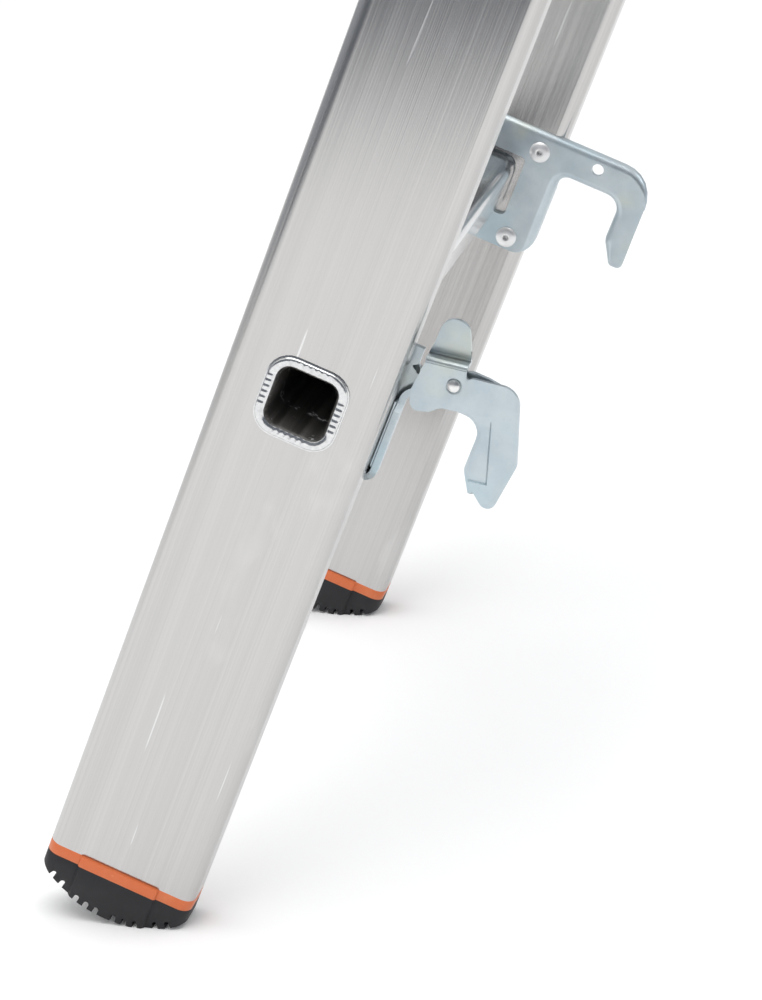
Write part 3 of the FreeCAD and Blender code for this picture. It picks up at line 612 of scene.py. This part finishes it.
def rung(section, index):
    """Rounded square tube with a bead inside each stile and a crimped rim outside it."""
    name = f"{section}_rung_{index}"
    face, inner = SECTION_FACE[section], SECTION_INNER[section]
    half, corner = RUNG_SIZE / 2, RUNG_CORNER
    shape = bmesh.new()
    signs = [(-1, -1), (1, -1), (1, 1), (-1, 1)]
    ring(shape, rounded([(one * half, other * half, corner) for one, other in signs]))
    sides = [edge for edge in shape.edges if edge.calc_length() > corner]
    bmesh.ops.subdivide_edges(shape, edges=sides, cuts=27)
    home = {point: point.co.yz for point in shape.verts}
    run = shape.edges[:]
    for x, out in rung_profile(face, inner)[1:]:
        run, faces, source = drawn_out(shape, run)
        home = {point: home[source[point]] for point in source}
        for point, place in home.items():
            y, z = grown(place, RUNG_SIZE, corner, out)
            point.co = (x - crimp(place, x, out, face), y, z)
        for one in faces:
            one.material_index = 1 if out < -1 else 0
    everything = shape.verts[:] + shape.edges[:] + shape.faces[:]
    bmesh.ops.mirror(shape, geom=everything, axis="X", merge_dist=0.001)
    bmesh.ops.remove_doubles(shape, verts=shape.verts, dist=0.001)
    bmesh.ops.recalc_face_normals(shape, faces=shape.faces)
    centre = SECTION_FRAME[section].inverted() @ middle(name)
    bmesh.ops.translate(shape, vec=(0, centre.y, centre.z), verts=shape.verts)
    finishes = ["rung", "bore"]
    piece(shape, f"{name}_tube", section, SECTION_BODY[section], finishes, [name], smooth=40)


def middle(node):
    """Middle of a node's box."""
    low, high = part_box(node)
    return (low + high) / 2


# ---------------------------------------------------------------- hooks


def plate_corners(inset, dip):
    """Corners of the hook plate with the radius of each, its rolled edges set in by that much."""
    high = ARM_TOP - inset
    top = [(DIP_FRONT, high, 0), (DIP_FRONT, ARM_TOP - DIP_DEPTH, 1), (DIP_REAR, high, 2)] if dip else []
    return [
        (PLATE_FRONT, PLATE_BOTTOM, 4),
        (PLATE_FRONT, high, 4),
        *top,
        (BEAK_REAR - inset, high, 18 - inset),
        (BEAK_REAR, BEAK_TIP, 3),
        (BEAK_INNER + 0.4 * inset, BEAK_TIP, 3),
        (MOUTH_REAR + inset, BEAK_TIP + BEAK_TAPER + 0.3 * inset, 8),
        (MOUTH_REAR + inset, ARM_UNDER + inset, 8 + inset),
        (PLATE_REAR - inset, ARM_UNDER + inset, 5 + inset),
        (PLATE_REAR - inset, ARM_UNDER - 7, 0),
        (PLATE_REAR - inset, ARM_UNDER - 10, 0),
        (PLATE_REAR - inset, PLATE_BOTTOM, 10 - inset),
    ]


def filled(shape, edges, facing):
    """Fill flat rings of edges across X, holes left open, with faces towards that side."""
    bmesh.ops.triangle_fill(
        shape, use_beauty=True, use_dissolve=False, edges=edges, normal=(facing, 0, 0),
    )


def thickened(shape, facing, thickness):
    """Give a pressed sheet its thickness, behind the side that its largest face shows."""
    bmesh.ops.recalc_face_normals(shape, faces=shape.faces)
    largest = max(shape.faces, key=lambda one: one.calc_area())
    if largest.normal.x * facing < 0:
        bmesh.ops.reverse_faces(shape, faces=shape.faces)
    bmesh.ops.solidify(shape, geom=shape.faces[:], thickness=thickness)
    bmesh.ops.recalc_face_normals(shape, faces=shape.faces)


# The hem's front, rear, bottom and top, its corners' radius, and how far it stands off the stile.
HEM = (72.3, 73.2, 226, 260.5)
HEM_CORNER, HEM_HEIGHT, HEM_PLAY = 0.3, 6.2, 0.2


def hem():
    """Lip of the sheet folded back beside the stile."""
    front, rear, low, high = HEM
    corners = [(front, low + 3), (front, high), (rear, high), (rear, low)]
    shape = bmesh.new()
    outline = ring(shape, rounded([(*corner, HEM_CORNER) for corner in corners], 3), inner_face)
    shape.faces.new(outline)
    bmesh.ops.recalc_face_normals(shape, faces=shape.faces)
    bmesh.ops.solidify(shape, geom=shape.faces[:], thickness=HEM_HEIGHT)
    low_x = min(corner.co.x for corner in shape.verts)
    bmesh.ops.translate(shape, vec=(inner_face + HEM_PLAY - low_x, 0, 0), verts=shape.verts)
    bmesh.ops.recalc_face_normals(shape, faces=shape.faces)
    break_edges(shape, 0.25, angle=60)
    return shape


CORNER_STEPS = 6
FAINT_ROLL = 0.12


def hook_plate(side, dip):
    """Flat plate whose edge round the mouth is rolled outwards, away from the ladder's middle."""
    name = f"hook_plate_{side}"
    shape = bmesh.new()
    edge = rounded(plate_corners(0, dip), CORNER_STEPS)
    crease = rounded(plate_corners(ROLL_RADIUS, dip), CORNER_STEPS)
    back = inner_face - PLATE_THICKNESS
    # one rolled stretch runs along the arm's top, and one from the beak's inner side to the plate's foot
    arc = CORNER_STEPS + 1
    first, rear = len(edge) - 2 - 5 * arc, len(edge) - 1 - arc
    top = range(arc + 2 + arc if dip else arc, first - arc)
    throat = range(first, len(edge))

    def strength(index):
        """How far the roll has come up, from its faint ends."""
        for stretch, peak, start, end in ((top, 0.8, 3, 4), (throat, 1.0, 6, 7)):
            if index in stretch:
                along = (index - stretch[0]) / (len(stretch) - 1)
                grown_by = min(1.0, start * along, end * (1 - along))
                return peak * (FAINT_ROLL + (1 - FAINT_ROLL) * grown_by)
        return 0.0

    def spot(index, inset):
        return edge[index].lerp(crease[index], inset / ROLL_RADIUS)

    places = [spot(index, ROLL_RADIUS * strength(index)) for index in range(len(edge))]
    corners = ring(shape, places, back)
    number = {corner: index for index, corner in enumerate(corners)}
    rolled = [{corners[index] for index in stretch} for stretch in (top, throat)]
    run = [one for one in shape.edges if any(stretch.issuperset(one.verts) for stretch in rolled)]
    y, z, width, height = WINDOW
    signs = [(-1, -1), (-1, 1), (1, 1), (1, -1)]
    window = [(y + one * width / 2, z + other * height / 2, 3) for one, other in signs]
    ring(shape, rounded(window), back)
    ring(shape, circle(*LATCH_PIN, PIN_HOLE), back)
    for place in RIVET_PLACES:
        ring(shape, circle(*place, RIVET_HOLE), back)
    filled(shape, shape.edges, -1)

    turns = [math.radians(one) for one in (18, 36, 54, 72, 90)]
    steps = [(ROLL_RADIUS * (1 - math.sin(one)), ROLL_RADIUS * (1 - math.cos(one))) for one in turns]
    for inset, rise in steps + [(0, 0)]:
        run, _, source = drawn_out(shape, run)
        for corner, before in source.items():
            number[corner] = number[before]
            share = strength(number[corner])
            straight = PLATE_THICKNESS + (REAR_FLANGE if number[corner] >= rear else THROAT_FLANGE)
            corner.co.x = back + (rise or straight) * share
            corner.co.yz = spot(number[corner], inset * share)
    thickened(shape, -1, PLATE_THICKNESS)
    break_edges(shape, 0.35, angle=50)
    shape = merged([shape, hem()])
    if side == "left":
        mirrored(shape)
    piece(shape, f"{name}_pressing", "fly", "fly_section", ["zinc"], [name], flats=True)


def rivets():
    """Blind rivets: a domed head with the broken mandrel's hole, shank, and tail inside the stile."""
    head, rise, hole, shank, tail = 5.5, 1.6, 1.5, 2.4, 3.5
    profile = [
        (0, 1.2), (hole, 1.2), (hole, 0.15 - rise), (hole + 0.25, -rise), (2.2, -rise),
        (3.4, 0.12 - rise), (4.6, 0.5 - rise), (5.2, 0.95 - rise), (head, -0.35), (head, 0),
        (shank, 0), (shank, 5), (tail, 5.3), (tail, 8.6), (shank, 9), (0, 9),
    ]
    face = inner_face - PLATE_THICKNESS
    heads = []
    for side in SIDES.values():
        for y, z in RIVET_PLACES:
            one = lathe([(radius, face + x) for radius, x in profile], y, z)
            heads.append(mirrored(one) if side < 0 else one)
    piece(
        merged(heads), "hook_rivet_heads", "fly", "fly_section", ["rivet"], ["hook_rivets"],
    )


def latch_pin():
    """Shouldered rivet whose head is peened to a dome over the lever."""
    start = inner_face + LEVER_STANDOFF
    outside = start + LEVER_THICKNESS
    foot = inner_face - PLATE_THICKNESS
    collar, shank, neck, head = 4.45, 3.15, 2.55, 2.85
    profile = [
        (0, foot - 1.8), (3.6, foot - 1.8), (4.3, foot - 1.4), (collar, foot),
        (shank, foot), (shank, inner_face), (collar, inner_face), (collar, start - 0.2),
        (neck, start - 0.2), (neck, outside - 0.45), (head, outside - 0.4), (head, outside - 0.1),
        (2.6, outside + 0.5), (1.9, outside + 0.95), (1, outside + 1.15), (0, outside + 1.2),
    ]
    piece(
        lathe(profile, *LATCH_PIN), "latch_pin_peened", "fly", "fly_section", ["steel"],
        ["latch_pin"],
    )


# The Z-bend starts at this height over the pivot, and the tab's flat face at that one.
BEND_START, SHELF_TOP, TAB_START = 7.6, 10.1, 10.45
# Outline of the lever about its pivot, before its tilt, each corner with its radius.
LEVER_CORNERS = [
    (-14.0, BEND_START, 0), (-18.4, -7.2, 6), (-16.6, -15.3, 3.5), (-8.4, -14.1, 4), (-4.2, -11, 6),
    (9.8, -10.9, 5), (15.8, -18.2, 6), (12.6, -31.7, 12), (13.7, -42.0, 0.5), (25.0, -55.5, 4),
    (33.2, -29.2, 5), (28.4, 5.2, 9), (7.0, 5.2, 3), (4.9, 3.6, 1), (4.4, BEND_START, 0),
]
TAB_CORNERS = [
    (-14.0, TAB_START, 0), (4.4, TAB_START, 0), (3.6, 13.9, 3), (0.6, 26.6, 6), (-10.0, 26.6, 6),
    (-12.8, 13.9, 3),
]
RECESS_TOP, RECESS_FOOT, RECESS_DEPTH = -10.5, -40.9, 1.1
RECESS_REAR, RECESS_FRONT, RECESS_LEAN = 18.9, 5, 0.105
RECESS_SLOPE, RECESS_STEP, RECESS_FADE = 0.9, 0.3, 4
DIMPLE, DIMPLE_DEPTH = 7.6, 0.5
SCORE_DEPTH, SCORE_WIDTH = 0.35, 0.5
TOOTH_PITCH, TOOTH_HEIGHT = 0.9, 0.12
BEND_DEPTH = 2.0


def recess_depth(y, z):
    """How deep the strip along the throat is pressed: soft at its rear, and sharp at its foot."""
    rear = RECESS_REAR + RECESS_LEAN * (RECESS_TOP - z)
    slope = max(0.0, min(1.0, (rear - y) / RECESS_SLOPE))
    step = max(0.0, min(1.0, (z - RECESS_FOOT) / RECESS_STEP))
    fade = max(0.0, min(1.0, (RECESS_TOP - z) / RECESS_FADE))
    return RECESS_DEPTH * slope * slope * (3 - 2 * slope) * step * fade if y > RECESS_FRONT else 0.0


def recessed(shape):
    """Cut the lever's face along the recess's lines, and press it in."""
    levels = [RECESS_TOP - RECESS_FADE * share for share in (0, 0.2, 0.4, 0.6, 0.8, 1)]
    cuts = [((0, 0, z), (0, 0, 1)) for z in levels + [RECESS_FOOT, RECESS_FOOT + RECESS_STEP]]
    for share in (0, 0.25, 0.5, 0.75, 1):
        place = (0, RECESS_REAR - RECESS_SLOPE * share, RECESS_TOP)
        cuts.append((place, (0, 1, RECESS_LEAN)))
    for place, normal in cuts:
        everything = shape.verts[:] + shape.edges[:] + shape.faces[:]
        bmesh.ops.bisect_plane(
            shape, geom=everything, plane_co=place, plane_no=normal, dist=0.0001,
        )
    for corner in shape.verts:
        corner.co.x -= recess_depth(corner.co.y, corner.co.z)


def where_all(shape, test):
    """Edges whose both ends pass a test."""
    return [edge for edge in shape.edges if all(test(end.co) for end in edge.verts)]


def dimple(shape, outside):
    """Face, round the pin's hole, pressed in."""
    run = where_all(shape, lambda place: abs(place.yz.length - DIMPLE / 2) < 0.01)
    rings = [(DIMPLE - 0.8, 0.2), (DIMPLE - 1.6, DIMPLE_DEPTH), (LEVER_HOLE, DIMPLE_DEPTH)]
    for diameter, depth in rings:
        run, _, source = drawn_out(shape, run)
        for corner in source:
            corner.co.yz = corner.co.yz.normalized() * diameter / 2
            corner.co.x = outside - depth


def bend_path(outside, inside):
    """(z, x) up the Z-bend: a score where the tool bit, round a corner, along the shelf, into the tab."""
    bottom, score_top = outside - SCORE_DEPTH, BEND_START + SCORE_WIDTH
    path = [(BEND_START + 0.1, bottom), (score_top, bottom)]
    corner_start = score_top + 0.1
    for turn in (0, 22.5, 45, 67.5, 90):
        rise, back = math.sin(math.radians(turn)), 1 - math.cos(math.radians(turn))
        path.append((corner_start + rise * (SHELF_TOP - corner_start), outside - back * BEND_DEPTH))
    return path + [(SHELF_TOP, inside + 0.35), (SHELF_TOP + 0.1, inside + 0.1), (TAB_START, inside)]


def latch_lever():
    """Pressed lever: a dimple at its pivot, a shallow recess along the throat, and a thumb tab."""
    outside = inner_face + LEVER_STANDOFF + LEVER_THICKNESS
    inside = outside - LEVER_STEP
    shape = bmesh.new()
    ring(shape, rounded(LEVER_CORNERS, 8), outside)
    ring(shape, circle(0, 0, DIMPLE), outside)
    filled(shape, shape.edges, 1)
    dimple(shape, outside)
    recessed(shape)

    lip = where_all(shape, lambda place: abs(place.z - BEND_START) < 0.001)
    bmesh.ops.subdivide_edges(shape, edges=lip, cuts=59)
    run = where_all(shape, lambda place: abs(place.z - BEND_START) < 0.001)
    for step, (z, x) in enumerate(bend_path(outside, inside)):
        run, _, source = drawn_out(shape, run)
        for corner in source:
            # the score is ragged, as the tool's teeth left it
            tooth = TOOTH_HEIGHT * math.sin(math.tau * corner.co.y / TOOTH_PITCH) if step < 2 else 0
            corner.co.z, corner.co.x = z + tooth, x
    ring(shape, rounded(TAB_CORNERS, 8), inside)
    bmesh.ops.remove_doubles(shape, verts=shape.verts, dist=0.01)
    border = where_all(shape, lambda place: place.z > TAB_START - 0.01)
    filled(shape, [edge for edge in border if len(edge.link_faces) < 2], 1)
    thickened(shape, 1, LEVER_THICKNESS)
    break_edges(shape, 0.3, angle=60)
    turn = Matrix.Rotation(math.radians(LEVER_TILT), 4, "X")
    bmesh.ops.transform(shape, matrix=Matrix.Translation((0, *LATCH_PIN)) @ turn, verts=shape.verts)
    piece(shape, "latch_lever_pressing", "fly", "latch", ["zinc"], ["latch_lever"], flats=True)


# ---------------------------------------------------------------- carried-over nodes


def paint(node, section, word):
    """Give a CAD node its material."""
    target = nodes[node]
    target.data.materials.clear()
    target.data.materials.append(FINISH[section][word])


SLOT = {
    "aluminium": "stile", "orange_plastic": "orange", "black_rubber": "rubber", "black_plastic": "plastic",
    "zinc_plate": "zinc", "bright_steel": "steel",
}
# How far the sharp edges of a machined or moulded piece are broken.
EDGE_WIDTH = {
    "foot_collar": 0.5, "foot_sole": 0.35, "top_cap": 0.9, "guide_bracket": 0.5, "guide_pads": 0.4,
    "hinge_bolt": 0.5, "hinge_nut": 0.5, "hinge_washer": 0.2, "stop_pin": 0.4,
}

studio()
place_camera()
bpy.context.scene.view_settings.view_transform = "Standard"

for section in ("fly", "base"):
    for index in RUNGS:
        rung(section, index)
hook_plate("right", dip=True)
hook_plate("left", dip=False)
rivets()
latch_pin()
latch_lever()

for part in frame["record"]["subparts"]:
    name, slot = part["node"], part["material_slot"]
    body = nodes[name]["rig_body"]
    section = "base" if body == "base_section" else "fly"
    paint(name, section, SLOT[slot])
    widths = [width for word, width in EDGE_WIDTH.items() if word in name]
    if widths:
        made = softened(name, widths[0])
        piece(made, f"{name}_finished", section, body, [SLOT[slot]], [name], local=False)
